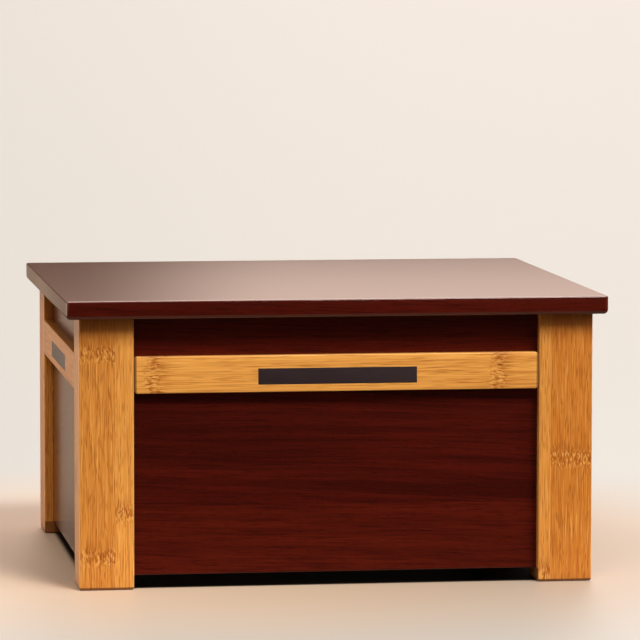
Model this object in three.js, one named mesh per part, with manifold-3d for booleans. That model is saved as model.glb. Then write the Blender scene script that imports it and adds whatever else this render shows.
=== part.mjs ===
// A box-shaped cremation urn: dark stained walls held between four square bamboo corner posts,
// a bamboo rail with a dark inlay on each wall, and a flat overhanging lid that lifts off.
// Millimetres, +Z up, the front looks along -Y, and the origin is on the floor under the middle.

import * as THREE from 'three';
import { mergeVertices } from 'three/addons/utils/BufferGeometryUtils.js';
import Module from 'manifold-3d';

const wasm = await Module();
wasm.setup();

// Driving dimensions. Every one is a multiple of an eighth, so that faces that touch meet exactly.

const TOTAL_HEIGHT = 135;

const LID_WIDTH = 254;
const LID_DEPTH = 234;
const LID_THICKNESS = 8.5;
const LID_OVERHANG = 6.25;
const LID_LOWER_ROUND = 3;
const LID_TOP_ROUND = 0.75;
const LID_STEP_DROP = 3.5;
const LID_STEP_CLEARANCE = 1;

const POST_SIDE = 25.5;
const BAMBOO_ARRIS = 0.75;

const PANEL_THICKNESS = 9.5;
const PANEL_RECESS = 4.5;
const PANEL_TENON = 6;
const FLOOR_GAP = 6.25;

const RAIL_HEIGHT = 17;
const RAIL_BOTTOM = 91.5;

const INLAY_LENGTH = 74.5;
const INLAY_HEIGHT = 7.5;
const INLAY_BOTTOM = 95;
const INLAY_THICKNESS = 2;

const BOARD_THICKNESS = 6;
const BOARD_LIFT = 4;
const BOARD_TONGUE = 4;

const FIT_GAP = 0.25;
const ARC_STEPS = 6;

// Sizes that follow from them.

const POST_HEIGHT = TOTAL_HEIGHT - LID_THICKNESS;
const BODY_WIDTH = LID_WIDTH - 2 * LID_OVERHANG;
const BODY_DEPTH = LID_DEPTH - 2 * LID_OVERHANG;
const PANEL_HEIGHT = POST_HEIGHT - FLOOR_GAP;
const PANEL_INNER = PANEL_RECESS + PANEL_THICKNESS;
const BOARD_BOTTOM = FLOOR_GAP + BOARD_LIFT;

// Finishes.

const STAINED_WOOD = { color: 0x4a1009, roughness: 0.3, metalness: 0 };
const BAMBOO = { color: 0xd28a3a, roughness: 0.45, metalness: 0 };
const DARK_INLAY = { color: 0x373032, roughness: 0.6, metalness: 0 };

function piece(name, geometry, finish) {
  const mesh = new THREE.Mesh(geometry, new THREE.MeshStandardMaterial(finish));
  mesh.name = name;
  return mesh;
}

// Booleans: a geometry becomes a manifold solid, and a solid becomes a geometry again.

function solid(geometry) {
  const bare = geometry.clone();
  bare.deleteAttribute('normal');
  bare.deleteAttribute('uv');
  const merged = mergeVertices(bare);
  return new wasm.Manifold(new wasm.Mesh({
    numProp: 3,
    vertProperties: new Float32Array(merged.attributes.position.array),
    triVerts: new Uint32Array(merged.index.array),
  }));
}

function surface(body) {
  const mesh = body.getMesh();
  const geometry = new THREE.BufferGeometry();
  geometry.setAttribute('position', new THREE.BufferAttribute(mesh.vertProperties, mesh.numProp));
  geometry.setIndex(new THREE.BufferAttribute(mesh.triVerts, 1));
  geometry.computeVertexNormals();
  return geometry;
}

// A box given by its lowest and highest corners.

function block(low, high) {
  const size = high.map((value, axis) => value - low[axis]);
  const middle = high.map((value, axis) => (value + low[axis]) / 2);
  return new THREE.BoxGeometry(...size).translate(...middle);
}

// A section drawn as (inward, upward) and carried along X, centred on X = 0.

function alongX(section, length) {
  const sectionToWall = new THREE.Matrix4().makeBasis(
    new THREE.Vector3(0, 1, 0),
    new THREE.Vector3(0, 0, 1),
    new THREE.Vector3(1, 0, 0),
  );
  return new THREE.ExtrudeGeometry(section, { depth: length, bevelEnabled: false, curveSegments: ARC_STEPS })
    .translate(0, 0, -length / 2)
    .applyMatrix4(sectionToWall);
}

// A rectangle with its own radius at each corner, counted from the low corner round to the left.

function roundedRectangle(x0, y0, x1, y1, [r00, r10, r11, r01]) {
  const shape = new THREE.Shape();
  const corner = (x, y, radius, start) => {
    if (radius > 0) {
      shape.absarc(x, y, radius, start, start + Math.PI / 2, false);
    } else {
      shape.lineTo(x, y);
    }
  };
  shape.moveTo(x0 + r00, y0);
  corner(x1 - r10, y0 + r10, r10, -Math.PI / 2);
  corner(x1 - r11, y1 - r11, r11, 0);
  corner(x0 + r01, y1 - r01, r01, Math.PI / 2);
  corner(x0 + r00, y0 + r00, r00, Math.PI);
  return shape;
}

// The lid is a board with a small round along its top edge and a larger one along its lower edge.
// Each pair of edges is a section carried across the board, and the two crossing bars are intersected,
// which mitres the rounds at the corners. A shallow step on the underside drops into the box's mouth.

function lidGeometry() {
  const rounds = [LID_LOWER_ROUND, LID_LOWER_ROUND, LID_TOP_ROUND, LID_TOP_ROUND];
  const bar = (across, length) =>
    alongX(roundedRectangle(-across / 2, 0, across / 2, LID_THICKNESS, rounds), length);
  const depthBar = solid(bar(LID_DEPTH, LID_WIDTH));
  const widthBar = solid(bar(LID_WIDTH, LID_DEPTH).rotateZ(Math.PI / 2));
  const halfStepX = BODY_WIDTH / 2 - POST_SIDE - LID_STEP_CLEARANCE;
  const halfStepY = BODY_DEPTH / 2 - PANEL_INNER - LID_STEP_CLEARANCE;
  const step = block(
    [-halfStepX, -halfStepY, -LID_STEP_DROP],
    [halfStepX, halfStepY, LID_THICKNESS / 2],
  );
  return surface(depthBar.intersect(widthBar).add(solid(step)));
}

// A post stands on the floor with its outer corner at the local origin and the two walls along +X and +Y.
// Each wall's end is housed in a groove that stops at the wall's lower edge.

function postGeometry() {
  const arrises = [BAMBOO_ARRIS, BAMBOO_ARRIS, BAMBOO_ARRIS, BAMBOO_ARRIS];
  const stock = new THREE.ExtrudeGeometry(
    roundedRectangle(0, 0, POST_SIDE, POST_SIDE, arrises),
    { depth: POST_HEIGHT, bevelEnabled: false, curveSegments: ARC_STEPS },
  );
  const grooveFloor = POST_SIDE - PANEL_TENON - FIT_GAP;
  const grooveLow = PANEL_RECESS - FIT_GAP;
  const grooveHigh = PANEL_INNER + FIT_GAP;
  const past = POST_SIDE + FIT_GAP;
  const sill = FLOOR_GAP - FIT_GAP;
  const top = POST_HEIGHT + FIT_GAP;
  const grooveX = block([grooveFloor, grooveLow, sill], [past, grooveHigh, top]);
  const grooveY = block([grooveLow, grooveFloor, sill], [grooveHigh, past, top]);
  return surface(solid(stock).subtract(solid(grooveX)).subtract(solid(grooveY)));
}

// A wall panel with a groove along the inside for the bottom board. Its ends reach into the posts.

function panelGeometry(clearLength) {
  const grooveDepth = PANEL_THICKNESS - BOARD_TONGUE;
  const grooveTop = BOARD_LIFT + BOARD_THICKNESS + FIT_GAP;
  const section = new THREE.Shape([
    [0, 0],
    [PANEL_THICKNESS, 0],
    [PANEL_THICKNESS, BOARD_LIFT],
    [grooveDepth, BOARD_LIFT],
    [grooveDepth, grooveTop],
    [PANEL_THICKNESS, grooveTop],
    [PANEL_THICKNESS, PANEL_HEIGHT],
    [0, PANEL_HEIGHT],
  ].map(([inward, upward]) => new THREE.Vector2(inward, upward)));
  return alongX(section, clearLength + 2 * PANEL_TENON);
}

// A rail fills the recess in front of its panel, flush with the posts, with its two outer edges eased
// and a shallow pocket for the inlay.

function railGeometry(clearLength) {
  const section = roundedRectangle(0, 0, PANEL_RECESS, RAIL_HEIGHT, [BAMBOO_ARRIS, 0, 0, BAMBOO_ARRIS]);
  const pocketLow = INLAY_BOTTOM - RAIL_BOTTOM - FIT_GAP;
  const pocketHigh = INLAY_BOTTOM - RAIL_BOTTOM + INLAY_HEIGHT + FIT_GAP;
  const pocketReach = INLAY_LENGTH / 2 + FIT_GAP;
  const pocket = block(
    [-pocketReach, -FIT_GAP, pocketLow],
    [pocketReach, INLAY_THICKNESS + FIT_GAP, pocketHigh],
  );
  return surface(solid(alongX(section, clearLength - 2 * FIT_GAP)).subtract(solid(pocket)));
}

// The bottom board is a rectangle with its corners notched round the posts.
// Its four edges lie in the panels' grooves.

function boardGeometry() {
  const reachX = BODY_WIDTH / 2 - PANEL_INNER + BOARD_TONGUE - FIT_GAP;
  const reachY = BODY_DEPTH / 2 - PANEL_INNER + BOARD_TONGUE - FIT_GAP;
  const notchX = BODY_WIDTH / 2 - POST_SIDE - FIT_GAP;
  const notchY = BODY_DEPTH / 2 - POST_SIDE - FIT_GAP;
  const outline = new THREE.Shape([
    [notchX, -reachY],
    [notchX, -notchY],
    [reachX, -notchY],
    [reachX, notchY],
    [notchX, notchY],
    [notchX, reachY],
    [-notchX, reachY],
    [-notchX, notchY],
    [-reachX, notchY],
    [-reachX, -notchY],
    [-notchX, -notchY],
    [-notchX, -reachY],
  ].map(([x, y]) => new THREE.Vector2(x, y)));
  return new THREE.ExtrudeGeometry(outline, { depth: BOARD_THICKNESS, bevelEnabled: false });
}

// A wall of the box: the panel, its rail and inlay, and the post at the wall's left end seen from outside.
// The group's X runs along the wall, its Y points into the box, and its origin is in the posts' outer plane.

function wall({ side, corner, length, distance, turn }) {
  const clearLength = length - 2 * POST_SIDE;

  const panel = piece(`panel_${side}`, panelGeometry(clearLength), STAINED_WOOD);
  panel.position.set(0, PANEL_RECESS, FLOOR_GAP);

  const rail = piece(`rail_${side}`, railGeometry(clearLength), BAMBOO);
  rail.position.z = RAIL_BOTTOM;

  const inlay = piece(
    `inlay_${side}`,
    new THREE.BoxGeometry(INLAY_LENGTH, INLAY_THICKNESS, INLAY_HEIGHT),
    DARK_INLAY,
  );
  inlay.position.set(0, INLAY_THICKNESS / 2, INLAY_BOTTOM + INLAY_HEIGHT / 2);

  const post = piece(`post_${corner}`, postGeometry(), BAMBOO);
  post.position.x = -length / 2;

  const group = new THREE.Group();
  group.add(panel, rail, inlay, post);
  group.rotation.z = turn;
  group.position.set(distance * Math.sin(turn), -distance * Math.cos(turn), 0);
  return group;
}

const WALLS = [
  { side: 'front', corner: 'front_left', length: BODY_WIDTH, distance: BODY_DEPTH / 2 },
  { side: 'right', corner: 'front_right', length: BODY_DEPTH, distance: BODY_WIDTH / 2 },
  { side: 'back', corner: 'back_right', length: BODY_WIDTH, distance: BODY_DEPTH / 2 },
  { side: 'left', corner: 'back_left', length: BODY_DEPTH, distance: BODY_WIDTH / 2 },
];

const urn = new THREE.Group();

WALLS.forEach((size, index) => {
  urn.add(wall({ ...size, turn: index * Math.PI / 2 }));
});

const board = piece('bottom_board', boardGeometry(), STAINED_WOOD);
board.position.z = BOARD_BOTTOM;
urn.add(board);

const lid = piece('lid', lidGeometry(), STAINED_WOOD);
lid.position.z = POST_HEIGHT;
urn.add(lid);

export default urn;
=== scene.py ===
# %% [markdown]
# # A cremation urn in stained wood and bamboo
# The urn is a box. Four dark stained panels stand between four square bamboo posts, a bamboo rail with a
# dark inlay crosses each panel, and a flat board lies on top as the lid. The measured solids give every
# piece its size and place. This lesson lays a finished skin over each of them: it eases the edges that a
# maker would sand, closes the glued joints, and gives each board its own grain.

# %% Load the measured solids
import math

import bpy
import numpy as np
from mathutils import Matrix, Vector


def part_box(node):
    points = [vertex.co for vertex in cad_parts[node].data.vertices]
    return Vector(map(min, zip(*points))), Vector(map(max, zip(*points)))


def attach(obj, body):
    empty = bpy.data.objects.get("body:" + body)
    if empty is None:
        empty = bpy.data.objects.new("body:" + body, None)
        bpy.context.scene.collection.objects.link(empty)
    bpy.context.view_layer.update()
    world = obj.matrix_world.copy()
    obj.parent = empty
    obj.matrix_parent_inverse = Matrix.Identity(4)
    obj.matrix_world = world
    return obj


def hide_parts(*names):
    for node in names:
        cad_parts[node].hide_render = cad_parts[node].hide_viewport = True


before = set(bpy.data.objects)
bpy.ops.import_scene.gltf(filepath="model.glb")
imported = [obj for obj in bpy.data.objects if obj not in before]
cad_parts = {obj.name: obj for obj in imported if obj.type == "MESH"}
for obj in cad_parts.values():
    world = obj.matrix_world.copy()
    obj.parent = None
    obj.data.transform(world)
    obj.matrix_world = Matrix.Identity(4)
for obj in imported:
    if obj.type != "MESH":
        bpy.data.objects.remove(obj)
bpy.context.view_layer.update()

# %% [markdown]
# ## The camera
# A camera could be placed by eye, but a box with straight edges tells where it was seen from: lines that
# are parallel on the box meet at points that fix the turn, the tilt and the lens. The values below are
# that fit, for a square picture. The lens is long and the camera far away, so the box keeps its edges
# almost parallel.

# %% Set the camera
CAMERA_PLACE = (-0.3090, -2.1961, 0.3168)
CAMERA_TILT = 84.793
CAMERA_ROLL = -0.067
CAMERA_SWING = -8.196
CAMERA_LENS = 256.27
SENSOR_WIDTH = 36.0

camera = bpy.data.objects.new("camera", bpy.data.cameras.new("camera"))
camera.data.lens = CAMERA_LENS
camera.data.sensor_width = SENSOR_WIDTH
camera.location = CAMERA_PLACE
camera.rotation_euler = [math.radians(angle) for angle in (CAMERA_TILT, CAMERA_ROLL, CAMERA_SWING)]
bpy.context.collection.objects.link(camera)
bpy.context.scene.camera = camera
print("camera at", CAMERA_PLACE, "with a lens of", CAMERA_LENS, "mm")

# %% [markdown]
# ## One way to make every piece
# Each piece is a board, a bar or a strip: a section that is carried along a straight path. Blender's
# cube and bevel tools could make them one by one. Here a piece is an array of rings instead, because a
# ring can change as it goes along, which eases an end, starts a groove or opens a pocket. The skin joins
# each ring to the next with quads and closes both ends.

# %% Rings to a closed skin
MM = 0.001
SHARP_ANGLE = 35.0


def skin(name, rings):
    """A closed mesh over an array of (ring, point, xyz). A quad joins two neighbouring points to the same
    two points on the next ring, and one flat face closes the first ring and the last. Points run
    counter-clockwise seen from the path's far end, so that every face looks outwards."""
    count, points = rings.shape[:2]
    index = np.arange(count * points).reshape(count, points)
    ahead = np.roll(index, -1, axis=1)
    quads = np.stack([index[:-1], ahead[:-1], ahead[1:], index[1:]], axis=-1).reshape(-1, 4)
    faces = quads.tolist() + [index[0, ::-1].tolist(), index[-1].tolist()]
    mesh = bpy.data.meshes.new(name)
    mesh.from_pydata(rings.reshape(-1, 3).tolist(), [], faces)
    mesh.shade_smooth()
    mesh.set_sharp_from_angle(angle=math.radians(SHARP_ANGLE))
    piece = bpy.data.objects.new(name, mesh)
    bpy.context.collection.objects.link(piece)
    return piece


def ease(radius, steps):
    """A quarter round at the end of a path, as (distance from the end, inset of the section). The inset
    goes from the radius to nothing along a circle: distance r - r cos a, inset r - r sin a."""
    angle = np.linspace(0.0, np.pi / 2, steps + 1)
    return radius - radius * np.cos(angle), radius - radius * np.sin(angle)


def quarter_turns(points, turns):
    """Points turned about Z by whole quarter turns: each turn takes (x, y) to (-y, x)."""
    x, y, z = np.moveaxis(points, -1, 0)
    for _ in range(turns % 4):
        x, y = -y, x
    return np.stack([x, y, z], axis=-1)


def wall_box(node, turns):
    """A node's lowest and highest corner, seen as if its wall were the front one."""
    both = quarter_turns(np.array([list(corner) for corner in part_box(node)]), -turns)
    return both.min(axis=0), both.max(axis=0)


print("the front panel lies between", *wall_box("panel_front", 0))

# %% [markdown]
# ## Grain that knows where it runs
# Wood and bamboo look wrong as soon as the grain crosses a board. So each piece carries a map of its own,
# in metres: across the grain and along it, chosen face by face from the direction that the face looks in.
# On the cut ends the map is squeezed, so that long fibres show as dots there. More values ride on the
# corners of each face: a number of its own for each strip, how pale the strip is, and a mark on the
# sanded edges.

# %% Write the grain map
END_SQUEEZE = 40.0
FLAT_ENOUGH = 0.995


def face_data(mesh):
    """For each face corner, as arrays: its place, its face's normal and its face's centre."""
    faces = len(mesh.polygons)
    place = np.empty(len(mesh.vertices) * 3)
    normal = np.empty(faces * 3)
    centre = np.empty(faces * 3)
    corner = np.empty(len(mesh.loops), dtype=np.int32)
    total = np.empty(faces, dtype=np.int32)
    mesh.vertices.foreach_get("co", place)
    mesh.polygons.foreach_get("normal", normal)
    mesh.polygons.foreach_get("center", centre)
    mesh.loops.foreach_get("vertex_index", corner)
    mesh.polygons.foreach_get("loop_total", total)
    face = np.repeat(np.arange(faces), total)
    return place.reshape(-1, 3)[corner], normal.reshape(-1, 3)[face], centre.reshape(-1, 3)[face]


def corner_value(mesh, name, values):
    """Stores one number for each face corner under a name that a material can read."""
    mesh.attributes.new(name, "FLOAT", "CORNER").data.foreach_set("value", values.astype(np.float32))


def write_grain(mesh, along, stretch=1.0):
    """A map named grain with (across, along) in metres. Across is the axis left over by the grain and the
    face's normal. A face that looks along the grain is an end: both its axes lie across the fibres. A
    stretch above 1 draws the fibres out. Faces that look along no axis are marked as arris."""
    place, normal, _ = face_data(mesh)
    facing = np.abs(normal).argmax(axis=1)
    is_end = facing == along
    run = np.where(is_end, (along + 1) % 3, along)
    across = 3 - facing - run
    rows = np.arange(len(place))
    squeeze = np.where(is_end, END_SQUEEZE, 1.0 / stretch)
    grain = np.stack([place[rows, across], place[rows, run] * squeeze], axis=1)
    layer = mesh.uv_layers.new(name="grain")
    layer.data.foreach_set("uv", grain.astype(np.float32).ravel())
    corner_value(mesh, "arris", np.abs(normal).max(axis=1) < FLAT_ENOUGH)


def one_strip(mesh, number, pale=0.0):
    """A board from one piece of wood: the same strip number and paleness all over."""
    corners = len(mesh.loops)
    corner_value(mesh, "strip", np.full(corners, number))
    corner_value(mesh, "pale", np.full(corners, pale))


def dress(piece, node, material):
    """Gives a piece its finish and lets it stand for its solid."""
    piece.data.materials.append(material)
    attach(piece, "root")
    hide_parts(node)
    print(piece.name, "has", len(piece.data.polygons), "faces")


print("fibres on cut ends are", END_SQUEEZE, "times shorter")

# %% [markdown]
# ## Writing a finish as a formula
# A finish is a tree of nodes. Linking them by hand takes many lines, so a small notebook of recipes
# helps: each method adds one node and gives back its output, and a finish then reads like a formula.
# Patterns are stated in millimetres, the way a maker would measure the grain.

# %% A recipe book for node trees
NOISE_ROUGHNESS = 0.55


def tone(red, green, blue):
    """A display colour of 0 to 255 as the linear colour that a shader wants."""
    share = np.array([red, green, blue]) / 255.0
    linear = np.where(share > 0.04045, ((share + 0.055) / 1.055) ** 2.4, share / 12.92)
    return (*linear.tolist(), 1.0)


class Recipe:
    """A node tree that is written as formulas."""

    def __init__(self, tree):
        self.tree = tree

    def add(self, kind, inputs=(), **settings):
        """One node: settings first, then each input as a number, a colour or another node's output."""
        node = self.tree.nodes.new(kind)
        for key, value in settings.items():
            setattr(node, key, value)
        for socket, value in dict(inputs).items():
            if isinstance(value, bpy.types.NodeSocket):
                self.tree.links.new(value, node.inputs[socket])
            else:
                node.inputs[socket].default_value = value
        return node

    def math(self, operation, *values):
        """One sum of that kind over the values."""
        return self.add("ShaderNodeMath", enumerate(values), operation=operation).outputs[0]

    def value(self, name):
        """A number that the mesh keeps under that name."""
        return self.add("ShaderNodeAttribute", attribute_name=name).outputs["Fac"]

    def split(self, vector):
        """A vector's three parts."""
        return self.add("ShaderNodeSeparateXYZ", {0: vector}).outputs

    def grain(self):
        """Across and along the grain, in millimetres."""
        both = self.split(self.add("ShaderNodeUVMap", uv_map="grain").outputs[0])
        return [self.math("MULTIPLY", both[axis], 1.0 / MM) for axis in range(2)]

    def noise(self, across, width, along, length, seed, detail=1.0):
        """Noise from 0 to 1 with patches of about that width and length."""
        scaled = [self.math("DIVIDE", across, width), self.math("DIVIDE", along, length), seed]
        place = self.add("ShaderNodeCombineXYZ", enumerate(scaled)).outputs[0]
        inputs = {"Vector": place, "Scale": 1.0, "Detail": detail, "Roughness": NOISE_ROUGHNESS}
        return self.add("ShaderNodeTexNoise", inputs).outputs["Fac"]

    def specks(self, across, width, along, length, seed):
        """Scattered specks, one in each patch of about that width and length: the distance to the nearest
        one's centre, from 0 to about 0.7, and a random number of its own."""
        scaled = [self.math("DIVIDE", across, width), self.math("DIVIDE", along, length)]
        shifted = [self.math("ADD", part, seed) for part in scaled]
        place = self.add("ShaderNodeCombineXYZ", enumerate(shifted)).outputs[0]
        inputs = {"Vector": place, "Scale": 1.0}
        cells = self.add("ShaderNodeTexVoronoi", inputs, voronoi_dimensions="2D")
        return cells.outputs["Distance"], self.split(cells.outputs["Color"])[0]

    def sway(self, across, width, along, length, seed, reach):
        """Noise that swings to both sides of nothing, by about that reach."""
        swing = self.noise(across, width, along, length, seed)
        return self.math("MULTIPLY_ADD", swing, 2 * reach, -reach)

    def fade(self, value, start, end, low=0.0, high=1.0):
        """A smooth step: low before start, high after end. Start may lie above end."""
        inputs = {0: value, 1: start, 2: end, 3: low, 4: high}
        return self.add("ShaderNodeMapRange", inputs, interpolation_type="SMOOTHSTEP").outputs[0]

    def blend(self, share, first, second):
        """From the first colour to the second."""
        return self.add("ShaderNodeMix", {0: share, 6: first, 7: second}, data_type="RGBA").outputs[2]


print("mid grey for a shader:", tone(128, 128, 128))

# %% A recipe that ends in a material


class Finish(Recipe):
    """A recipe that ends in a material. Constants go straight to the shader's own sockets."""

    def __init__(self, name, **constants):
        self.material = bpy.data.materials.new(name)
        self.material.use_nodes = True
        super().__init__(self.material.node_tree)
        self.shader = self.tree.nodes["Principled BSDF"]
        for socket, value in constants.items():
            self.shader.inputs[socket.replace("_", " ")].default_value = value

    def done(self, **patterns):
        """Links each pattern to the shader's socket of that name."""
        for socket, output in patterns.items():
            self.tree.links.new(output, self.shader.inputs[socket.replace("_", " ")])
        print(self.material.name, "has", len(self.tree.nodes), "nodes")
        return self.material

    def relief(self, height, depth, over=None):
        """A bump from that height, with depth in metres, on the plain surface or over another bump."""
        bump = self.add("ShaderNodeBump", {"Strength": 1.0, "Distance": depth, "Height": height})
        if over:
            self.tree.links.new(over, bump.inputs["Normal"])
        return bump.outputs[0]


# %% [markdown]
# ## Stained wood
# The panels and the lid are wooden boards under a dark red-brown stain and satin lacquer. The figure is
# quiet: long lines that wander a little, soft clouds where the stain took deeper, and pores as fine dark
# dashes. The lacquer hardly shines face on but mirrors its surroundings at a low angle, which is why the
# top of the lid looks pale. The lid is also a trace higher along its middle, so that what it mirrors
# turns brighter towards the front edge. That is too little to model, so it is a bump over the whole board:
# the mesh stays flat and only the shading leans.

# %% Mix the stained wood
SEED_STEP = 1.37
PORE_DEPTH = 0.002 * MM
LID_CROWN = 1.5 * MM
UNDER_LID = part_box("post_front_left")[1][2]
CROWN_FROM = UNDER_LID - 0.05 * MM
LID_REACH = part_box("lid")[1][1]


def stained_wood():
    """Soft bands of figure, fine lines and pores, each as noise stretched along a grain that slants and
    wanders. The crown is a parabola from the front of the lid to its back: 1 less the square of the share
    of the way from its middle to its edge."""
    book = Finish("stained_wood", IOR=1.5)
    across, along = book.grain()
    seed = book.math("MULTIPLY", book.value("strip"), SEED_STEP)
    slant = book.math("MULTIPLY_ADD", along, 0.03, across)
    bent = book.math("ADD", slant, book.sway(across, 60.0, along, 260.0, seed, 8.0))
    figure = book.noise(bent, 4.5, along, 160.0, seed, detail=2.0)
    lines = book.noise(bent, 0.7, along, 24.0, book.math("ADD", seed, 0.3), detail=2.0)
    pores = book.noise(bent, 0.5, along, 5.0, book.math("ADD", seed, 0.6))
    colour = book.blend(book.fade(figure, 0.3, 0.7), tone(55, 11, 6), tone(74, 18, 10))
    colour = book.blend(book.math("MULTIPLY", book.value("pale"), 0.25), colour, tone(98, 29, 13))
    colour = book.blend(book.fade(lines, 0.42, 0.7, 0.0, 0.58), colour, tone(42, 7, 4))
    colour = book.blend(book.fade(pores, 0.5, 0.75, 0.0, 0.35), colour, tone(34, 5, 2))
    # Sanded edges are a touch paler: partly worn wood, partly a painted highlight along the edges.
    colour = book.blend(book.math("MULTIPLY", book.value("arris"), 0.15), colour, tone(120, 48, 30))
    _, y, z = book.split(book.add("ShaderNodeTexCoord").outputs["Object"])
    on_lid = book.math("GREATER_THAN", z, CROWN_FROM)
    share = book.math("DIVIDE", y, LID_REACH)
    crown = book.math("SUBTRACT", 1.0, book.math("MULTIPLY", share, share))
    crown = book.math("MULTIPLY", on_lid, crown)
    return book.done(
        Base_Color=colour,
        Roughness=book.fade(lines, 0.2, 0.8, 0.14, 0.18),
        Normal=book.relief(pores, PORE_DEPTH, over=book.relief(crown, LID_CROWN)),
    )


stained = stained_wood()

# %% [markdown]
# ## The lid
# The lid is a single board. Its top edge is only just broken, and next to it the top falls away by up to
# 12 degrees over a millimetre, which catches a bright line. Its lower edge has a larger round, and a
# shallow step underneath drops into the mouth of the box. A cube with bevels could not fall away like
# that. Rings that follow the outline from the step's underside to the top make all of this in one skin:
# each ring is a rounded rectangle with its own inset and height.

# %% Shape the lid
LID_LOWER_ROUND = 2.2 * MM
LID_TOP_ROUND = 0.6 * MM
LID_FALL_RADIUS = 5.0 * MM
LID_FALL_ANGLE = np.radians(12.0)
LID_CORNER = 1.8 * MM
LEAST_CORNER = 0.18 * MM
LID_STEP_EASE = 0.5 * MM
STEP_CLEARANCE = 1.0 * MM
ROUND_STEPS = 8
LID_STRIP = 2.0
LID_PALENESS = 0.5


def rounded_rectangles(half_x, half_y, radius, height):
    """Rings of (x, y, z), one for each entry: at each corner a quarter circle of that radius, with its
    centre that far inside both sides, joined by straight sides."""
    quarter = np.linspace(-np.pi / 2, 0.0, ROUND_STEPS + 1)
    angle = (np.arange(4)[:, None] * np.pi / 2 + quarter).ravel()
    side_x = np.repeat([1.0, 1.0, -1.0, -1.0], ROUND_STEPS + 1)
    side_y = np.repeat([-1.0, 1.0, 1.0, -1.0], ROUND_STEPS + 1)
    half_x, half_y, radius, height = (
        np.asarray(value)[:, None] for value in (half_x, half_y, radius, height)
    )
    x = side_x * (half_x - radius) + radius * np.cos(angle)
    y = side_y * (half_y - radius) + radius * np.sin(angle)
    return np.stack([x, y, np.broadcast_to(height, x.shape)], axis=-1)


def top_edge():
    """The lid's top edge from its side up, as (distance below the top, inset). A tight round that stops
    short of level runs into a wide arc, which falls from the flat of the lid by its own small angle:
    below r - r cos a and inside r sin a on both circles, a counted from straight up."""
    tight = np.linspace(np.pi / 2, LID_FALL_ANGLE, ROUND_STEPS, endpoint=False)
    wide = np.linspace(LID_FALL_ANGLE, 0.0, ROUND_STEPS + 1)
    gap = LID_FALL_RADIUS - LID_TOP_ROUND
    below_tight = LID_FALL_RADIUS - gap * np.cos(LID_FALL_ANGLE) - LID_TOP_ROUND * np.cos(tight)
    inside_tight = LID_TOP_ROUND - LID_TOP_ROUND * np.sin(tight)
    below_wide = LID_FALL_RADIUS - LID_FALL_RADIUS * np.cos(wide)
    inside_wide = LID_TOP_ROUND + gap * np.sin(LID_FALL_ANGLE) - LID_FALL_RADIUS * np.sin(wide)
    return np.concatenate([below_tight, below_wide]), np.concatenate([inside_tight, inside_wide])


def make_lid():
    """Rings from the step's underside to the top: the step with its eased foot, then the board, whose rings
    are drawn in by the lower round and by the top edge."""
    low, high = (np.array(list(corner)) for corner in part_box("lid"))
    half_x, half_y = high[0], high[1]
    mouth_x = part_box("post_front_right")[0][0] - STEP_CLEARANCE
    mouth_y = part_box("panel_back")[0][1] - STEP_CLEARANCE
    rise, inset = ease(LID_LOWER_ROUND, ROUND_STEPS)
    below, top_inset = top_edge()
    inset = np.concatenate([inset, top_inset])
    height = np.concatenate([UNDER_LID + rise, high[2] - below])
    corner = np.maximum(LID_CORNER - inset, LEAST_CORNER)
    board = rounded_rectangles(half_x - inset, half_y - inset, corner, height)
    step_inset = np.array([LID_STEP_EASE, 0.0, 0.0])
    step_height = np.array([low[2], low[2] + LID_STEP_EASE, UNDER_LID])
    step_corner = np.full(len(step_inset), LID_CORNER)
    step = rounded_rectangles(mouth_x - step_inset, mouth_y - step_inset, step_corner, step_height)
    lid = skin("urn_lid", np.concatenate([step, board]))
    write_grain(lid.data, along=0)
    one_strip(lid.data, LID_STRIP, LID_PALENESS)
    dress(lid, "lid", stained)


make_lid()

# %% [markdown]
# ## The panels and the bottom board
# A panel is three boards glued edge to edge. The lower one is paler wood. The one above the rail is paler
# too, as painted light that lifts the lid's shadow on it. The grain breaks at the joints. Its ends run into
# the posts and its inside has a groove for the bottom board.
# The section is carried along the wall, and the front panel's section serves all four walls: each is made
# as if it were the front one and then turned by quarter turns. The bottom board is a flat outline with a
# notch for each post.

# %% Shape the panels
WALLS = ("front", "right", "back", "left")
POSTS = ("front_left", "front_right", "back_right", "back_left")
BOARD_EASE = 0.4 * MM
GROOVE_GAP = 0.05 * MM
BOARD_JOINT = 38.0 * MM
PANEL_STRIP = 20.0
LOWER_BOARD = 10.0
UPPER_BOARD = 30.0


def along_wall(section, start, end):
    """Rings of (x, inward, upward): the section repeated at the two ends of the path."""
    x = np.broadcast_to(np.array([start, end])[:, None], (2, len(section)))
    rest = np.broadcast_to(section, (2, *section.shape))
    return np.concatenate([x[:, :, None], rest], axis=-1)


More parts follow.
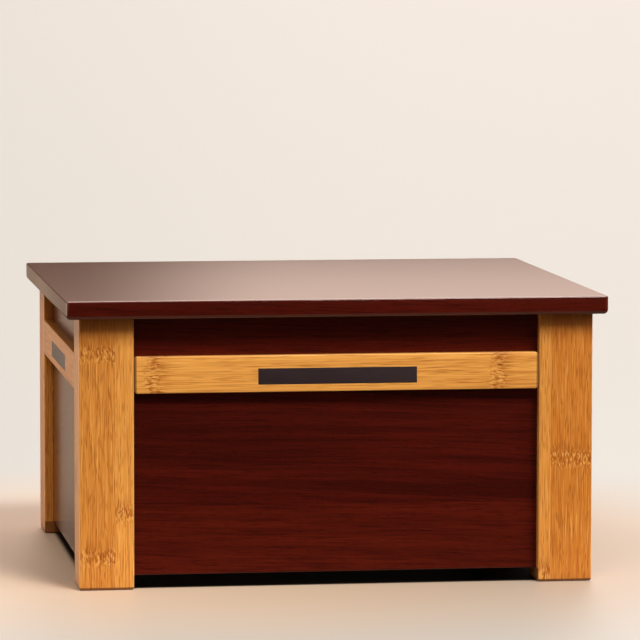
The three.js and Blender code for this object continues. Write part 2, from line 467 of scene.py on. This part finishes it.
def make_panel(turns):
    """The section goes round the panel from its foot: up the inside, past the groove, and down the outside.
    Both joints are points on either side, so that each board has faces of its own."""
    side = WALLS[turns]
    low, high = wall_box(f"panel_{side}", turns)
    board_low, board_high = wall_box("bottom_board", turns)
    rail_low, rail_high = wall_box(f"rail_{side}", turns)
    behind_rail = (rail_low[2] + rail_high[2]) / 2
    groove = board_low[1] - GROOVE_GAP
    foot = low[2] + BOARD_EASE
    section = np.array([
        (low[1] + BOARD_EASE, low[2]),
        (high[1] - BOARD_EASE, low[2]),
        (high[1], foot),
        (high[1], board_low[2]),
        (groove, board_low[2]),
        (groove, board_high[2] + GROOVE_GAP),
        (high[1], board_high[2] + GROOVE_GAP),
        (high[1], BOARD_JOINT),
        (high[1], behind_rail),
        (high[1], high[2]),
        (low[1], high[2]),
        (low[1], behind_rail),
        (low[1], BOARD_JOINT),
        (low[1], foot),
    ])
    panel = skin(f"urn_panel_{side}", quarter_turns(along_wall(section, low[0], high[0]), turns))
    write_grain(panel.data, along=turns % 2)
    level = face_data(panel.data)[2][:, 2]
    lower, upper = level < BOARD_JOINT, level > behind_rail
    corner_value(panel.data, "strip", PANEL_STRIP + turns + LOWER_BOARD * lower + UPPER_BOARD * upper)
    # The lower board is paler wood. The upper board's paleness is painted light in the lid's shadow.
    corner_value(panel.data, "pale", lower | upper)
    dress(panel, f"panel_{side}", stained)


for turns in range(len(WALLS)):
    make_panel(turns)

# %% Shape the bottom board
BOTTOM_STRIP = 40.0


def make_bottom_board():
    """The outline is a rectangle with its four corners notched round the posts: the two notch corners and
    the inner one, mirrored to each quarter, and carried up through the board's thickness."""
    low, high = (np.array(list(corner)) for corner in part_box("bottom_board"))
    reach = high[:2]
    notch = np.array(list(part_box("post_back_right")[0]))[:2] - GROOVE_GAP
    quarter = np.array([(reach[0], notch[1]), (notch[0], notch[1]), (notch[0], reach[1])])
    mirrored = quarter[::-1]
    outline = np.concatenate([quarter, mirrored * (-1, 1), quarter * (-1, -1), mirrored * (1, -1)])
    inset = np.array([BOARD_EASE, 0.0, 0.0, BOARD_EASE])
    height = np.array([low[2], low[2] + BOARD_EASE, high[2] - BOARD_EASE, high[2]])
    flat = outline[None] - np.sign(outline)[None] * inset[:, None, None]
    rise = np.broadcast_to(height[:, None, None], (*flat.shape[:2], 1))
    board = skin("urn_bottom_board", np.concatenate([flat, rise], axis=-1))
    write_grain(board.data, along=0)
    one_strip(board.data, BOTTOM_STRIP)
    dress(board, "bottom_board", stained)


make_bottom_board()

# %% [markdown]
# ## Bamboo
# The posts and rails are laminated bamboo: flat strips about 20 mm wide, glued face to face. A strip
# shows fine fibres and short brown dashes along its length, and at every joint of the stem a node: a
# narrow band where the fibres sway and break into dark flecks. Each strip has its own tone. The mesh knows
# the strips, so it tells the finish four things at each corner: which strip this is, how pale it is, how
# far away the nearest node lies, and whether this is a cut end, the rounded foot or the inner side of a
# foot.
# Cut ends are darker as end grain. On the foot's rounding and on its inner side under the box, the same
# dark tone is painted shade. Close under the lid the bamboo is darker too, as a painted shadow of the lid,
# and there the height alone tells where.

# %% Mix the bamboo
FIBRE_DEPTH = 0.01 * MM
# Painted shadow of the lid: from this height up, the posts' bamboo darkens.
LID_SHADOW_FROM = UNDER_LID - 17.0 * MM
LID_SHADOW_FULL = UNDER_LID - 4.0 * MM


def bamboo_finish():
    """Fibres are noise stretched along the strip, and lines and dashes are long specks, on a ground that is
    as pale as the strip says. The darker the strip, the deeper they show. Distance from the node is signed:
    just past a node lie a fringe of dark hairs and a brown smear, and on it a band of dark flecks and pale
    glints. Near the node all of them are pushed sideways."""
    book = Finish("bamboo", IOR=1.45)
    across, along = book.grain()
    seed = book.math("MULTIPLY", book.value("strip"), SEED_STEP)

    # Where a point lies: how far past its node, and how far across once the node has pushed it.
    past = book.math("MULTIPLY", book.value("from_node"), 1.0 / MM)
    past = book.math("ADD", past, book.sway(across, 4.0, along, 60.0, seed, 2.0))
    push = book.sway(across, 3.0, along, 7.0, seed, 1.0)
    bent = book.math("MULTIPLY_ADD", push, book.fade(book.math("ABSOLUTE", past), 9.0, 1.0), across)

    # The patterns, from the broad to the fine.
    broad = book.noise(across, 1.8, along, 90.0, seed)
    fibre = book.noise(bent, 0.33, along, 18.0, seed, detail=2.0)
    line, line_own = book.specks(bent, 0.42, along, 24.0, seed)
    dash, dash_own = book.specks(bent, 0.52, along, 7.0, book.math("ADD", seed, 0.5))
    hair, hair_own = book.specks(bent, 0.75, along, 7.0, book.math("ADD", seed, 0.7))
    column = book.noise(bent, 1.1, along, 30.0, book.math("ADD", seed, 0.4))
    mottle = book.noise(bent, 0.65, past, 2.0, seed)

    # The stretches around a node, and what shows there.
    fringe = book.math("MULTIPLY", book.fade(past, 9.0, 1.0), book.fade(past, -3.0, 0.5))
    band = book.fade(book.math("ABSOLUTE", book.math("ADD", past, 1.0)), 5.5, 2.0)
    smear = book.math("MULTIPLY", book.fade(past, 12.0, 0.0), book.fade(past, -6.0, -1.0))
    smear = book.math("MULTIPLY", smear, book.fade(column, 0.35, 0.65))
    hairs = book.math("MULTIPLY", book.fade(hair, 0.5, 0.18), book.fade(hair_own, 0.15, 0.75))
    hairs = book.math("MULTIPLY", hairs, fringe)
    flecks = book.math("MULTIPLY", book.fade(mottle, 0.52, 0.66), band)
    glints = book.math("MULTIPLY", book.fade(mottle, 0.47, 0.36), band)

    # Lines and dashes all over, deeper on dark strips.
    depth = book.fade(book.value("pale"), 0.0, 0.7, 0.95, 0.65)
    lines = book.math("MULTIPLY", book.fade(line, 0.42, 0.12), book.fade(line_own, 0.2, 1.0))
    dashes = book.math("MULTIPLY", book.fade(dash, 0.44, 0.12), book.fade(dash_own, 0.45, 1.05))

    # The colours, from the ground up.
    colour = book.blend(book.value("pale"), tone(192, 118, 43), tone(234, 171, 84))
    colour = book.blend(book.fade(broad, 0.4, 0.7, 0.0, 0.35), colour, tone(176, 103, 32))
    colour = book.blend(book.fade(fibre, 0.5, 0.72, 0.0, 0.5), colour, tone(158, 88, 24))
    colour = book.blend(book.fade(fibre, 0.48, 0.28, 0.0, 0.55), colour, tone(230, 174, 92))
    colour = book.blend(book.math("MULTIPLY", lines, depth), colour, tone(146, 76, 17))
    colour = book.blend(book.math("MULTIPLY", dashes, depth), colour, tone(138, 70, 14))
    colour = book.blend(book.math("MULTIPLY", smear, 0.5), colour, tone(156, 84, 22))
    colour = book.blend(book.math("MULTIPLY", hairs, 0.8), colour, tone(142, 70, 13))
    colour = book.blend(book.math("MULTIPLY", glints, 0.55), colour, tone(230, 174, 94))
    colour = book.blend(book.math("MULTIPLY", flecks, 0.72), colour, tone(142, 70, 13))
    # Sanded edges are a touch paler: partly worn wood, partly a painted highlight along the edges.
    colour = book.blend(book.math("MULTIPLY", book.value("arris"), 0.12), colour, tone(230, 184, 112))
    # Cut ends darken as end grain. On the foot's rounding and its inner side, the same tone is painted
    # shade.
    colour = book.blend(book.math("MULTIPLY", book.value("end_grain_and_shade"), 0.75), colour, tone(92, 50, 20))
    # Painted shadow of the lid: close under it, the bamboo is darkened by height alone.
    place = book.add("ShaderNodeTexCoord").outputs["Object"]
    lid_shadow = book.fade(book.split(place)[2], LID_SHADOW_FROM, LID_SHADOW_FULL, 0.0, 0.5)
    colour = book.blend(lid_shadow, colour, tone(110, 50, 8))

    height = book.math("SUBTRACT", fibre, book.math("ADD", flecks, hairs))
    return book.done(
        Base_Color=colour,
        Roughness=book.fade(fibre, 0.3, 0.7, 0.28, 0.36),
        Normal=book.relief(height, FIBRE_DEPTH),
    )


bamboo = bamboo_finish()

# %% [markdown]
# ## Where the strips lie
# On the faces that look to the front and the back a post shows the flat of its strips, and on the other
# two the edges of its four layers. A rail is one strip wide. Strips are listed from the low side as (width,
# paleness, node places), with lengths in millimetres from the low end. Where a face of the real urn could
# be seen the list follows it, and a seeded draw fills in the rest. The finish could guess the strips from
# the place alone, but then a joint would not meet the edge of a face.

# %% Tell each corner its strip
LAYERS = 4
NO_NODE = 0.4
HALF_PALE = 0.5
END_FACING = 0.05
FOOT_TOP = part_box("panel_front")[0][2]
LOOKS_LEFT, LOOKS_RIGHT, LOOKS_FRONT, LOOKS_BACK, LOOKS_DOWN, LOOKS_UP = range(6)
STRIPS_PER_FACE = 10.0
STRIP_SEED = 8
draw = np.random.default_rng(STRIP_SEED)


def lay_strips(mesh, along, strips_of_face, seed):
    """Writes strip, pale, from_node and end_grain_and_shade. Each face is looked up by the direction it
    looks in. The strip is the one whose width holds the face's centre, counted from the low side, and
    from_node is the distance along the grain from that strip's nearest node. A face that leans along the
    grain is a cut end, whose darker tone is end grain. The foot's rounding leans that way too, and there
    the dark tone is a painted contact shadow. A foot's inner side, which looks towards the middle of the
    box, also counts as one, and there the dark tone is painted shade under the box."""
    place, normal, centre = face_data(mesh)
    facing = np.abs(normal).argmax(axis=1)
    looks = facing * 2 + (normal[np.arange(len(normal)), facing] > 0)
    low = place.min(axis=0)
    strip = np.full(len(place), seed)
    pale = np.full(len(place), HALF_PALE)
    from_node = np.full(len(place), NO_NODE)
    for direction, strips in strips_of_face.items():
        # The numbers of the three axes add up to 3, so this is the one that is left.
        across = 3 - direction // 2 - along
        edges = low[across] + np.cumsum([width for width, _, _ in strips])[:-1] * MM
        which = np.searchsorted(edges, centre[:, across])
        for number, (_, paleness, nodes) in enumerate(strips):
            mine = (looks == direction) & (which == number)
            strip[mine] = seed + direction * STRIPS_PER_FACE + number
            pale[mine] = paleness
            knots = low[along] + np.array(nodes) * MM
            nearest = np.abs(centre[mine, along][:, None] - knots).argmin(axis=1)
            from_node[mine] = place[mine, along] - knots[nearest]
    corner_value(mesh, "strip", strip)
    corner_value(mesh, "pale", pale)
    corner_value(mesh, "from_node", from_node)
    # Painted shade: a foot's inner side under the box gets the cut ends' dark tone, and so does the foot's
    # rounding.
    inward = (normal * centre)[:, :2].sum(axis=1) < 0.0
    under_box = inward & (centre[:, 2] < FOOT_TOP)
    corner_value(mesh, "end_grain_and_shade", under_box | (np.abs(normal[:, along]) > END_FACING))


print(f"a post has {LAYERS} layers, and its foot is {FOOT_TOP / MM:.2f} mm high")

# %% [markdown]
# ## The posts
# A post is a square bar with sanded edges. Two grooves on its inner sides house the ends of the panels and
# stop where the panels stop, so that the foot below is whole. Boolean cuts could make the grooves, but they
# leave long thin triangles. Here one section with both grooves is carried up the post, and the grooves'
# depth changes from next to nothing to full at that level.

# %% Draw a post's section
POST_EASE = 0.75 * MM
EDGE_STEPS = 4
GROOVE_LEAN = 0.03 * MM


def bead(x, y, radius, start):
    """A quarter circle about (x, y), counter-clockwise from the start angle."""
    angle = start + np.linspace(0.0, np.pi / 2, EDGE_STEPS + 1)
    return np.stack([x + radius * np.cos(angle), y + radius * np.sin(angle)], axis=1)


def post_section(side, groove, depth, splits_x, splits_y):
    """The outline of a post whose outer corner is at (0, 0): four sanded edges, the points where strips
    meet on its outer faces, and a groove of that depth on each of its two inner faces. The groove's sides
    lean by a hair."""
    r = POST_EASE
    low, high = groove
    floor = side - depth
    front = np.stack([splits_x, np.zeros(len(splits_x))], axis=1)
    left = np.stack([np.zeros(len(splits_y)), splits_y[::-1]], axis=1)
    low_floor, high_floor = low + GROOVE_LEAN, high - GROOVE_LEAN
    groove_x = np.array([(side, low), (floor, low_floor), (floor, high_floor), (side, high)])
    groove_y = groove_x[::-1, ::-1]
    return np.concatenate([
        bead(r, r, r, np.pi),
        front,
        bead(side - r, r, r, -np.pi / 2),
        groove_x,
        bead(side - r, side - r, r, 0.0),
        groove_y,
        bead(r, side - r, r, np.pi / 2),
        left,
    ])


print(f"a post's edges are rounded by {POST_EASE / MM:.2f} mm")

# %% Choose a post's strips
NODE_CLEAR = 6.0
PALENESS_RANGE = (0.1, 0.8)
SPLIT_RANGE = (0.25, 0.75)
SEEN_LAYERS = {"front_left": 0.9}
SEEN_POST_STRIPS = {
    "front_left": [(16.7, 0.3, [16.0, 110.5]), (8.8, 0.55, [36.5])],
    "front_right": [(5.8, 0.42, [4.0]), (19.7, 0.0, [59.0])],
    "back_left": [(12.5, 0.25, [150.0]), (13.0, 0.4, [30.0])],
}


def drawn_strip(width, length):
    """A strip of that width with one node and a paleness at drawn values."""
    return (width, draw.uniform(*PALENESS_RANGE), [draw.uniform(NODE_CLEAR, length - NODE_CLEAR)])


def post_strips(corner, width, length):
    """Two flat strips on the front and back, and layers' edges on the left and right."""
    layers = [drawn_strip(width / LAYERS, length) for _ in range(LAYERS)]
    layers = [(wide, SEEN_LAYERS.get(corner, pale), nodes) for wide, pale, nodes in layers]
    faces = []
    for _ in range(2):
        first = draw.uniform(*SPLIT_RANGE) * width
        faces.append([drawn_strip(first, length), drawn_strip(width - first, length)])
    front = SEEN_POST_STRIPS.get(corner, faces[0])
    return {LOOKS_FRONT: front, LOOKS_BACK: faces[1], LOOKS_LEFT: layers, LOOKS_RIGHT: layers}


print("the strips on the front of", *SEEN_POST_STRIPS, "follow the real urn")

# %% Shape the posts
FOOT_EASE = 1.3 * MM
GROOVE_START = 0.03 * MM
SILL = 0.3 * MM
POST_LEVELS = 40
POST_STRIP = 100.0
STRIPS_PER_PIECE = 100.0


def make_post(turns):
    """One section for each level, shrunk towards its middle where the foot is rounded, with its groove deep
    above the sill and closed below it. The post is made as if it stood at the front left and then turned,
    so the joints of the strips on its two outer faces are looked up for the turned faces."""
    corner = POSTS[turns]
    low, high = wall_box(f"post_{corner}", turns)
    panel_low, panel_high = wall_box(f"panel_{WALLS[turns]}", turns)
    side = high[0] - low[0]
    groove = (panel_low[1] - low[1] - GROOVE_GAP, panel_high[1] - low[1] + GROOVE_GAP)
    full_depth = high[0] - panel_low[0] + GROOVE_GAP
    strips = post_strips(corner, side / MM, (high[2] - low[2]) / MM)
    outer_x = (LOOKS_FRONT, LOOKS_RIGHT, LOOKS_BACK, LOOKS_LEFT)[turns]
    outer_y = (LOOKS_LEFT, LOOKS_FRONT, LOOKS_RIGHT, LOOKS_BACK)[turns]
    edges = {
        look: np.cumsum([width for width, _, _ in strips[look]])[:-1] * MM
        for look in (outer_x, outer_y)
    }
    # Widths count from the low side, and on a face that was turned round the outer corner is the high one.
    splits_x = edges[outer_x] if turns in (0, 1) else side - edges[outer_x][::-1]
    splits_y = edges[outer_y] if turns in (0, 3) else side - edges[outer_y][::-1]
    rise, inset = ease(FOOT_EASE, EDGE_STEPS)
    sill = panel_low[2] - GROOVE_GAP
    height = np.concatenate([rise, [sill - SILL], np.linspace(sill, high[2], POST_LEVELS)])
    inset = np.concatenate([inset, np.zeros(POST_LEVELS + 1)])
    depth = np.where(height > sill - SILL / 2, full_depth, GROOVE_START)
    rings = np.stack([post_section(side, groove, d, splits_x, splits_y) for d in depth])
    middle = side / 2
    rings = middle + (rings - middle) * (1.0 - inset / middle)[:, None, None]
    upright = np.broadcast_to(height[:, None, None], (*rings.shape[:2], 1))
    rings = np.concatenate([rings + low[:2], upright], axis=-1)
    post = skin(f"urn_post_{corner}", quarter_turns(rings, turns))
    write_grain(post.data, along=2)
    lay_strips(post.data, along=2, strips_of_face=strips, seed=POST_STRIP + STRIPS_PER_PIECE * turns)
    dress(post, f"post_{corner}", bamboo)


for turns in range(len(WALLS)):
    make_post(turns)

# %% [markdown]
# ## The rails
# A rail lies on its panel between two posts, flush with them. Its long edges are just sanded and its ends
# are rounder, which one bevel could not do. A shallow pocket in its face holds the inlay. The section is
# carried along the rail: near an end it shrinks along a quarter circle, and between the pocket's ends the
# middle of its face steps back.

# %% Draw a rail's section
RAIL_EASE = 0.4 * MM
RAIL_CORNER = 1.2 * MM
END_SHARPENING = 0.9
POCKET_WALL = 0.03 * MM


def rail_section(low, high, inset, pocket, depth):
    """The outline as (inward, upward): round at its two outer edges, which sharpen towards an end, square
    behind, drawn in by the inset above and below and by a share of it in front, and with the pocket's band
    of its face moved back by the depth."""
    r = RAIL_EASE * (1.0 - END_SHARPENING * inset / RAIL_CORNER)
    face, back = low[1] + inset * RAIL_EASE / RAIL_CORNER, high[1]
    bottom, top = low[2] + inset, high[2] - inset
    down, up = pocket
    return np.concatenate([
        bead(face + r, bottom + r, r, np.pi),
        [(back, bottom), (back, top)],
        bead(face + r, top - r, r, np.pi / 2),
        [(face, up + POCKET_WALL), (face + depth, up)],
        [(face + depth, down), (face, down - POCKET_WALL)],
    ])


print(f"a rail's edges are rounded by {RAIL_EASE / MM:.1f} mm and its ends by {RAIL_CORNER / MM:.1f} mm")

# %% Shape the rails
POCKET_GAP = 0.04 * MM
RAIL_LEVELS = 48
RAIL_STRIP = 1000.0
RAIL_STRETCH = 1.7
SEEN_RAILS = {"front": (0.72, [9.3, 171.3])}


def make_rail(turns):
    """One section for each place along the rail: closer together at the rounded ends, even between them,
    and two that lie a pocket wall apart where the pocket starts and stops. Its halves are mirrored."""
    side = WALLS[turns]
    low, high = wall_box(f"rail_{side}", turns)
    inlay_low, inlay_high = wall_box(f"inlay_{side}", turns)
    pocket = (inlay_low[2] - POCKET_GAP, inlay_high[2] + POCKET_GAP)
    reach = inlay_high[0] + POCKET_GAP
    floor = inlay_high[1] - low[1] + POCKET_GAP
    distance, inset = ease(RAIL_CORNER, ROUND_STEPS)
    middle = np.linspace(-reach, reach, RAIL_LEVELS)
    side_run = np.linspace(low[0] + distance[-1], -reach - POCKET_WALL, RAIL_LEVELS // 2)[1:]
    x = np.concatenate([low[0] + distance, side_run])
    x = np.concatenate([x, middle, -x[::-1]])
    inset = np.concatenate([inset, np.zeros(len(x) - 2 * len(inset)), inset[::-1]])
    depth = np.where(np.abs(x) < reach + POCKET_WALL / 2, floor, 0.0)
    rings = np.stack([rail_section(low, high, i, pocket, d) for i, d in zip(inset, depth)])
    lengthwise = np.broadcast_to(x[:, None, None], (*rings.shape[:2], 1))
    rings = np.concatenate([lengthwise, rings], axis=-1)
    rail = skin(f"urn_rail_{side}", quarter_turns(rings, turns))
    along = turns % 2
    write_grain(rail.data, along, RAIL_STRETCH)
    length, _, width = (high - low) / MM
    pale, nodes = SEEN_RAILS.get(side, drawn_strip(width, length)[1:])
    faces = (LOOKS_LEFT, LOOKS_RIGHT) if along else (LOOKS_FRONT, LOOKS_BACK)
    strips = {look: [(width, pale, nodes)] for look in (*faces, LOOKS_UP, LOOKS_DOWN)}
    lay_strips(rail.data, along, strips, RAIL_STRIP + STRIPS_PER_PIECE * turns)
    dress(rail, f"rail_{side}", bamboo)


for turns in range(len(WALLS)):
    make_rail(turns)

# %% [markdown]
# ## The inlays
# The inlay is a thin dark strip, flush with the rail and nearly matt. Only its face shows, with a hairline
# of shadow round it where it meets the bamboo. It could be a colour on the rail, but a piece of its own
# can be swapped, and its edges are real.

# %% Mix the inlay's finish
STREAK_DEPTH = 0.004 * MM


def dark_inlay():
    """A dark brown grey with faint streaks along the strip."""
    book = Finish("dark_inlay", IOR=1.4)
    across, along = book.grain()
    seed = book.math("MULTIPLY", book.value("strip"), SEED_STEP)
    streak = book.noise(across, 0.5, along, 12.0, seed, detail=2.0)
    cloud = book.noise(across, 4.0, along, 20.0, seed)
    colour = book.blend(book.fade(streak, 0.3, 0.7), tone(38, 27, 30), tone(43, 31, 33))
    colour = book.blend(book.fade(cloud, 0.3, 0.8, 0.0, 0.4), colour, tone(47, 35, 36))
    return book.done(
        Base_Color=colour,
        Roughness=book.fade(streak, 0.2, 0.8, 0.38, 0.48),
        Normal=book.relief(streak, STREAK_DEPTH),
    )


inlay_finish = dark_inlay()

# %% Shape the inlays
INLAY_EASE = 0.12 * MM
INLAY_STRIP = 5.0


def make_inlay(turns):
    """Rounded rectangles from the strip's back to its face, where the edge is eased: they are worked out
    lying flat, and height and depth then change places."""
    side = WALLS[turns]
    low, high = wall_box(f"inlay_{side}", turns)
    distance, inset = ease(INLAY_EASE, EDGE_STEPS)
    half_x, half_z = (high - low)[[0, 2]] / 2
    inset = np.concatenate([[0.0], inset[::-1]])
    inward = np.concatenate([[high[1]], low[1] + distance[::-1]])
    corner = np.full(len(inset), INLAY_EASE)
    flat = rounded_rectangles(half_x - inset, half_z - inset, corner, inward)
    x, up, depth = np.moveaxis(flat, -1, 0)
    rings = np.stack([x, depth, up + (low[2] + high[2]) / 2], axis=-1)
    inlay = skin(f"urn_inlay_{side}", quarter_turns(rings, turns))
    write_grain(inlay.data, along=turns % 2)
    one_strip(inlay.data, INLAY_STRIP + turns)
    dress(inlay, f"inlay_{side}", inlay_finish)


for turns in range(len(WALLS)):
    make_inlay(turns)

# %% [markdown]
# ## Floor
# The floor is one pale plane, warm near the urn and cooler with the distance. Near the urn its tone is
# painted paler to the left and darker to the right, which evens out the urn's shadow and the near lamp's
# light. A wide bright floor would throw its light up into the shadows under the lid and the rail, and the
# boards would mirror it. So three sheets share the plane: one under the urn that lights and mirrors like
# any surface, a near one that isn't mirrored, and a far one that only the camera sees. Between the panels
# the finish is dark, as painted shade, because hardly any light gets under the box.

# %% Lay the floor
FAR_REACH = 60.0
NEAR_REACH = 1.2
FRONT_REACH = 0.19
LEFT_TO_RIGHT = (-0.17, 0.17)
NEAR_TO_FAR = (0.1, 0.4)
SHADE_EDGE = (-1.0 * MM, 2.5 * MM)
# Signs that take the front right corner to the front left, itself, the back right and the back left.
QUARTERS = ((-1, 1), (1, 1), (1, -1), (-1, -1))


def floor_finish():
    """A warm pale tone near the urn, painted paler to the left and darker to the right to even out the
    light, that turns cooler with the distance from it, and a painted deep shade under it: how far a point
    lies inside the panels is the smaller of its distances to the two nearest ones."""
    book = Finish("floor", Roughness=0.5, IOR=1.3)
    place = book.add("ShaderNodeTexCoord").outputs["Object"]
    distance = book.add("ShaderNodeVectorMath", {0: place}, operation="LENGTH").outputs["Value"]
    x, y, _ = book.split(place)
    # Painted light and shade: paler on the left, in the urn's shadow, and darker on the right, under the
    # near lamp.
    near = book.blend(book.fade(x, *LEFT_TO_RIGHT), tone(199, 174, 150), tone(164, 147, 130))
    colour = book.blend(book.fade(distance, *NEAR_TO_FAR), near, tone(165, 171, 172))
    reach_x, reach_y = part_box("panel_right")[1][0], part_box("panel_back")[1][1]
    inside_x = book.math("SUBTRACT", reach_x, book.math("ABSOLUTE", x))
    inside_y = book.math("SUBTRACT", reach_y, book.math("ABSOLUTE", y))
    shade = book.fade(book.math("MINIMUM", inside_x, inside_y), *SHADE_EDGE)
    return book.done(Base_Color=book.blend(shade, colour, tone(24, 17, 12)))


def lay_floor(name, points, faces):
    """A flat sheet at height 0 with those corners."""
    mesh = bpy.data.meshes.new(name)
    mesh.from_pydata([(x, y, 0.0) for x, y in points], [], faces)
    mesh.materials.append(pale_floor)
    sheet = bpy.data.objects.new(name, mesh)
    bpy.context.collection.objects.link(sheet)
    print(name, "has", len(faces), "faces")
    return sheet


def rectangle(reach, front):
    """Corners from that far in front to the reach behind, and the reach to both sides."""
    return [(-reach, -front), (reach, -front), (reach, reach), (-reach, reach)]


def frame_faces():
    """Quads between the corners of an outer rectangle, listed first, and those of an inner one."""
    count = len(QUARTERS)
    return [(i, (i + 1) % count, count + (i + 1) % count, count + i) for i in range(count)]


pale_floor = floor_finish()
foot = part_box("post_front_right")
under_corners = [(x * foot[1][0], y * foot[0][1]) for x, y in QUARTERS]
near_corners = rectangle(NEAR_REACH, FRONT_REACH)
far_corners = rectangle(FAR_REACH, FAR_REACH)
lay_floor("floor_under", under_corners, [range(len(QUARTERS))])
near_floor = lay_floor("floor_near", near_corners + under_corners, frame_faces())
near_floor.visible_glossy = False
far_floor = lay_floor("floor_far", far_corners + near_corners, frame_faces())
far_floor.visible_diffuse = False
far_floor.visible_glossy = False

# %% [markdown]
# ## Light
# The shadows of the lid and the rail tell where the main light is: some 50 degrees high, to the right of
# the front, and fairly large, because the shadows fade along their edges. A weaker second light of the same
# kind comes from the front left. A near lamp on the right makes that side brighter than the other, which
# distant lights can't do.

# %% Set the light


def soft_sun(name, height, side, softness, strength, colour):
    """A distant light at that height in degrees, turned to the right of the front by side."""
    lamp = bpy.data.objects.new(name, bpy.data.lights.new(name, "SUN"))
    lamp.data.energy = strength
    lamp.data.angle = math.radians(softness)
    lamp.data.color = colour
    lamp.rotation_euler = (math.pi / 2 - math.radians(height), 0.0, math.radians(side))
    bpy.context.collection.objects.link(lamp)
    print(name, "at", height, "degrees up and", side, "to the right")


def soft_window(name, place, size, power, colour):
    """A square light of that size, aimed at the urn. Being near, it lights the near side more."""
    lamp = bpy.data.objects.new(name, bpy.data.lights.new(name, "AREA"))
    lamp.data.energy = power
    lamp.data.size = size
    lamp.data.color = colour
    lamp.location = place
    lamp.rotation_euler = lamp.location.to_track_quat("Z", "Y").to_euler()
    bpy.context.collection.objects.link(lamp)
    print(name, "at", place, "with", power, "W")


soft_sun("key_light", height=52.5, side=28.0, softness=20.0, strength=3.0, colour=(1.0, 0.97, 0.92))
soft_sun("fill_light", height=53.0, side=-24.0, softness=20.0, strength=0.95, colour=(1.0, 0.95, 0.88))
soft_window("side_light", place=(0.65, -0.5, 0.55), size=0.4, power=2.6, colour=(0.96, 1.0, 1.04))

# %% [markdown]
# ## Surroundings
# What the lacquered lid mirrors is painted on the sky by direction: pale behind and paler higher up, a dark
# patch to the left of a sharp edge, a bright band high up, and a low glow at the far left that lights the
# left side. In front it is dark, which keeps the stain deep. A photographed sky would need a file, and its
# edges would not lie where the lid shows them.

# %% Name the tones
FRONT_LEFT = (0.1, 0.05, 0.035, 1.0)
FRONT_RIGHT = (0.24, 0.18, 0.16, 1.0)
BEHIND_LOW = (0.46, 0.35, 0.286, 1.0)
BEHIND_HIGH = (1.24, 0.955, 0.79, 1.0)
DARK_PATCH_LOW = (0.1, 0.068, 0.048, 1.0)
DARK_PATCH_HIGH = (0.27, 0.187, 0.135, 1.0)
HIGH_BEHIND = (5.0, 4.0, 3.5, 1.0)
LEFT_GLOW = (2.9, 2.2, 1.75, 1.0)
OVERHEAD = (0.85, 0.78, 0.70, 1.0)
LOW_AHEAD = (0.02, 0.015, 0.01, 1.0)
LOW_BEHIND = (0.46, 0.325, 0.23, 1.0)
DEEP_BEHIND = (0.17, 0.12, 0.085, 1.0)
UNDERNEATH = (0.48, 0.34, 0.25, 1.0)
print("the brightest tone is", max(HIGH_BEHIND), "and the darkest", min(LOW_AHEAD))

# %% Paint the surroundings
AHEAD_TO_RIGHT = (0.0, 0.6)
PALER_UPWARDS = (-0.02, 0.185)
PATCH_EDGE = (0.135, 0.085)
BAND_FOOT = (0.22, 0.4)
BAND_TOP = (0.7, 0.5)
BAND_CENTRE = 0.14
BAND_SIDE = (0.3, 0.12)
GLOW_SIDE = (-0.3, -0.5)
GLOW_HEIGHT = (0.28, 0.1)
FRONT_TO_BACK = (-0.9, -0.1)
TO_OVERHEAD = (0.75, 0.95)
LOW_FRONT_TO_BACK = (-0.5, 0.5)
TO_DEEP = (-0.125, -0.141)
TO_UNDERNEATH = (-0.4, -0.85)
HORIZON = (-0.05, 0.0)

world = bpy.data.worlds.new("studio")
world.use_nodes = True
bpy.context.scene.world = world
book = Recipe(world.node_tree)
x, y, z = book.split(book.add("ShaderNodeTexCoord").outputs["Generated"])
ahead = book.blend(book.fade(x, *AHEAD_TO_RIGHT), FRONT_LEFT, FRONT_RIGHT)
rise = book.fade(z, *PALER_UPWARDS)
pale_behind = book.blend(rise, BEHIND_LOW, BEHIND_HIGH)
dark_patch = book.blend(rise, DARK_PATCH_LOW, DARK_PATCH_HIGH)
behind = book.blend(book.fade(x, *PATCH_EDGE), pale_behind, dark_patch)

high = book.math("MULTIPLY", book.fade(z, *BAND_FOOT), book.fade(z, *BAND_TOP))
from_centre = book.math("ABSOLUTE", book.math("SUBTRACT", x, BAND_CENTRE))
high = book.math("MULTIPLY", high, book.fade(from_centre, *BAND_SIDE))
behind = book.blend(high, behind, HIGH_BEHIND)

level = book.fade(book.math("ABSOLUTE", z), *GLOW_HEIGHT)
left = book.math("MULTIPLY", book.fade(x, *GLOW_SIDE), level)
behind = book.blend(left, behind, LEFT_GLOW)

around = book.blend(book.fade(y, *FRONT_TO_BACK), ahead, behind)
above = book.blend(book.fade(z, *TO_OVERHEAD), around, OVERHEAD)
low_behind = book.blend(book.fade(z, *TO_DEEP), LOW_BEHIND, DEEP_BEHIND)
low_behind = book.blend(left, low_behind, LEFT_GLOW)
low = book.blend(book.fade(y, *LOW_FRONT_TO_BACK), LOW_AHEAD, low_behind)
below = book.blend(book.fade(z, *TO_UNDERNEATH), low, UNDERNEATH)
whole = book.blend(book.fade(z, *HORIZON), below, above)
world.node_tree.links.new(whole, world.node_tree.nodes["Background"].inputs["Color"])
bpy.context.scene.view_settings.view_transform = "Standard"
print("the surroundings take", len(world.node_tree.nodes), "nodes")
